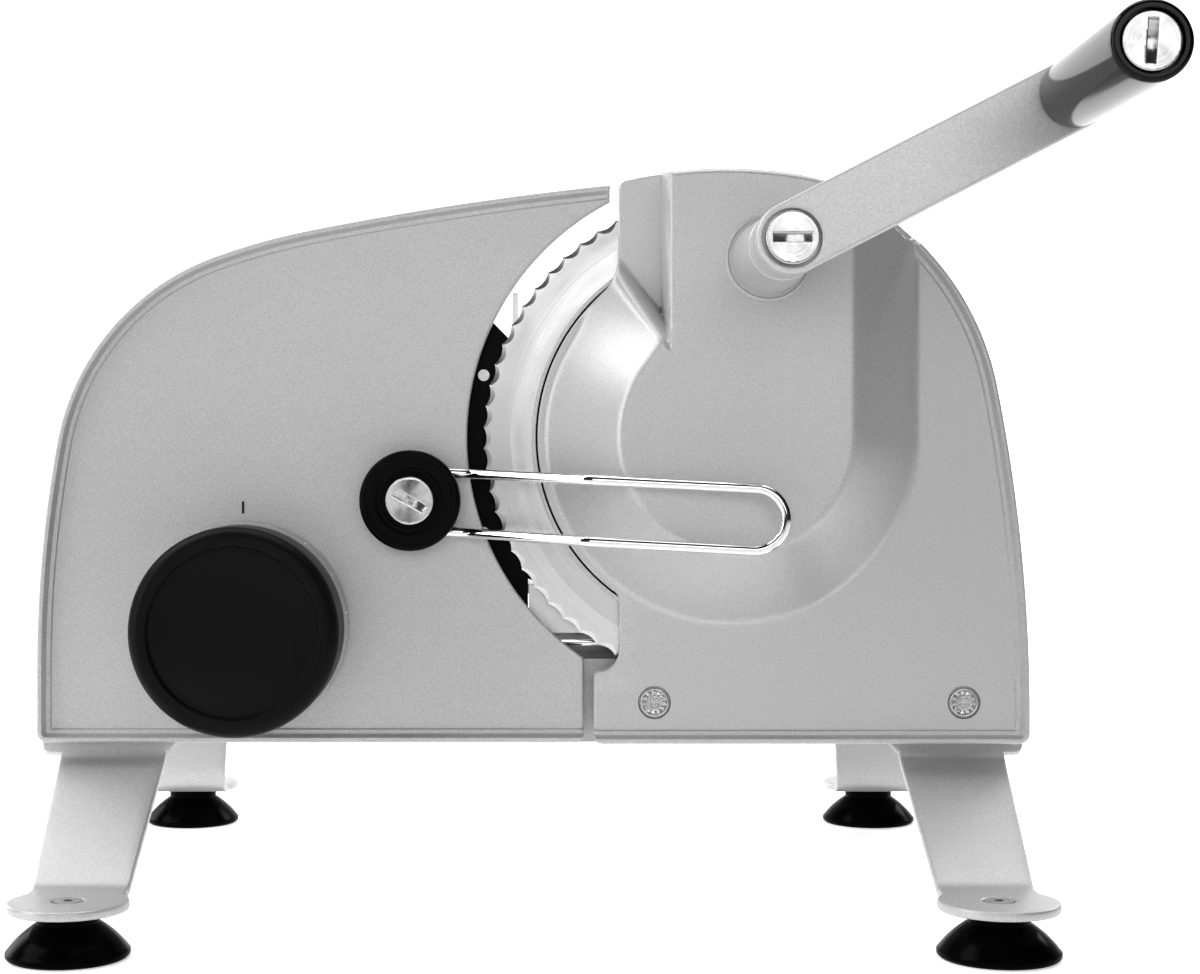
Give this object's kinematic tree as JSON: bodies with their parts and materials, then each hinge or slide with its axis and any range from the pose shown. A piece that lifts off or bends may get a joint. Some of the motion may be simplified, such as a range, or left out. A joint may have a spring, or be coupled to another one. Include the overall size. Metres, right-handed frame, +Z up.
{
  "type": "manual food slicer",
  "caption": "Hand cranked food slicer with a geared round wave-edged blade, a knob-set fence, a wire deflector, a sliding food carriage and suction feet.",
  "frame": {"origin": "on the table plane, under the middle of the whole outline, crank included", "axes": "+X to the right seen from the crank side, +Y away from the crank side towards the food carriage, +Z up"},
  "size_m": [0.3446, 0.381, 0.2768],
  "materials": {
    "silver_paint": "satin silver with fine grain",
    "dial_paint": "satin light grey with white ticks",
    "cup_rubber": "smooth black",
    "blade_steel": "ground round the axis",
    "screw_steel": "turned, bright",
    "turned_steel": "turned",
    "crank_metal": "satin silver",
    "bush_brass": "turned",
    "rail_chrome": "polished",
    "wire_chrome": "polished",
    "knob_plastic": "fine textured black",
    "black_plastic": "satin black",
    "grip_plastic": "glossy black"
  },
  "bodies": {
    "stand": {"base_housing": "silver_paint", "leg_front_left": "silver_paint", "leg_front_right": "silver_paint", "leg_rear_left": "silver_paint", "leg_rear_right": "silver_paint", "suction_cup_front_left": "cup_rubber", "suction_cup_front_right": "cup_rubber", "suction_cup_rear_left": "cup_rubber", "suction_cup_rear_right": "cup_rubber", "foot_screws": "screw_steel", "leg_screws": "screw_steel", "slide_rail": "rail_chrome", "rail_bracket_left": "black_plastic", "rail_bracket_right": "black_plastic", "rail_screws": "screw_steel", "guide_bushes": "bush_brass", "gear_cover": "silver_paint", "blade_surround": "silver_paint", "cover_screws": "screw_steel", "cover_nuts": "screw_steel", "crank_bushes": "bush_brass", "blade_bush": "bush_brass", "adjuster_bracket": "turned_steel", "bracket_screws": "screw_steel", "adjuster_spindle": "turned_steel"},
    "crank": {"crank_gear": "turned_steel", "crank_shaft": "turned_steel", "crank_clip": "turned_steel", "crank_arm": "crank_metal", "crank_screw": "screw_steel", "grip_spindle": "turned_steel", "grip_screw": "screw_steel"},
    "grip": {"crank_grip": "grip_plastic"},
    "blade": {"slicing_blade": "blade_steel", "blade_shaft": "turned_steel", "blade_gear": "turned_steel", "blade_screw": "screw_steel", "carrier_screws": "screw_steel"},
    "fence": {"fence_plate": "silver_paint", "fence_guide_pins": "turned_steel", "deflector_stud": "turned_steel"},
    "knob": {"thickness_knob": "knob_plastic", "dial_ring": "dial_paint", "spindle_nut": "bush_brass", "knob_retainer": "turned_steel"},
    "deflector": {"deflector_loop": "wire_chrome", "deflector_clamp": "black_plastic", "deflector_screw": "screw_steel"},
    "carriage": {"carriage_table": "silver_paint", "pusher_wall": "silver_paint", "finger_guard": "black_plastic", "slide_block": "black_plastic", "slide_shoe": "black_plastic", "carriage_screws": "screw_steel"},
    "holder": {"holder_plate": "black_plastic", "holder_spikes": "screw_steel", "holder_stud": "turned_steel", "holder_grip": "black_plastic"}
  },
  "joints": [
    {"name": "crank_turn", "type": "hinge", "parent": "stand", "child": "crank", "pos_m": [0.07643, -0.07634, 0.2222], "axis": [0, -1, 0], "continuous": true},
    {"name": "blade_turn", "type": "hinge", "parent": "stand", "child": "blade", "pos_m": [0.06643, -0.02635, 0.163], "axis": [0, -1, 0], "continuous": true},
    {"name": "grip_turn", "type": "hinge", "parent": "crank", "child": "grip", "pos_m": [0.16093, -0.14635, 0.2655], "axis": [0, -1, 0], "continuous": true},
    {"name": "fence_slide", "type": "slide", "parent": "stand", "child": "fence", "axis": [0, -1, 0], "range_m": [0, 0.014]},
    {"name": "knob_turn", "type": "hinge", "parent": "fence", "child": "knob", "pos_m": [-0.10057, -0.02635, 0.0983], "axis": [0, -1, 0], "range_deg": [0, 330]},
    {"name": "deflector_swing", "type": "hinge", "parent": "fence", "child": "deflector", "pos_m": [-0.04347, -0.01634, 0.1415], "axis": [0, -1, 0], "range_deg": [-20, 75]},
    {"name": "carriage_slide", "type": "slide", "parent": "stand", "child": "carriage", "axis": [1, 0, 0], "range_m": [-0.15, 0.03]},
    {"name": "holder_slide", "type": "slide", "parent": "carriage", "child": "holder", "axis": [0, 1, 0], "range_m": [0, 0.082]}
  ],
  "couplings": [
    {"joint": "blade_turn", "follows": "crank_turn", "ratio": -0.66667},
    {"joint": "knob_turn", "follows": "fence_slide", "rad_per_m": 411.4}
  ]
}
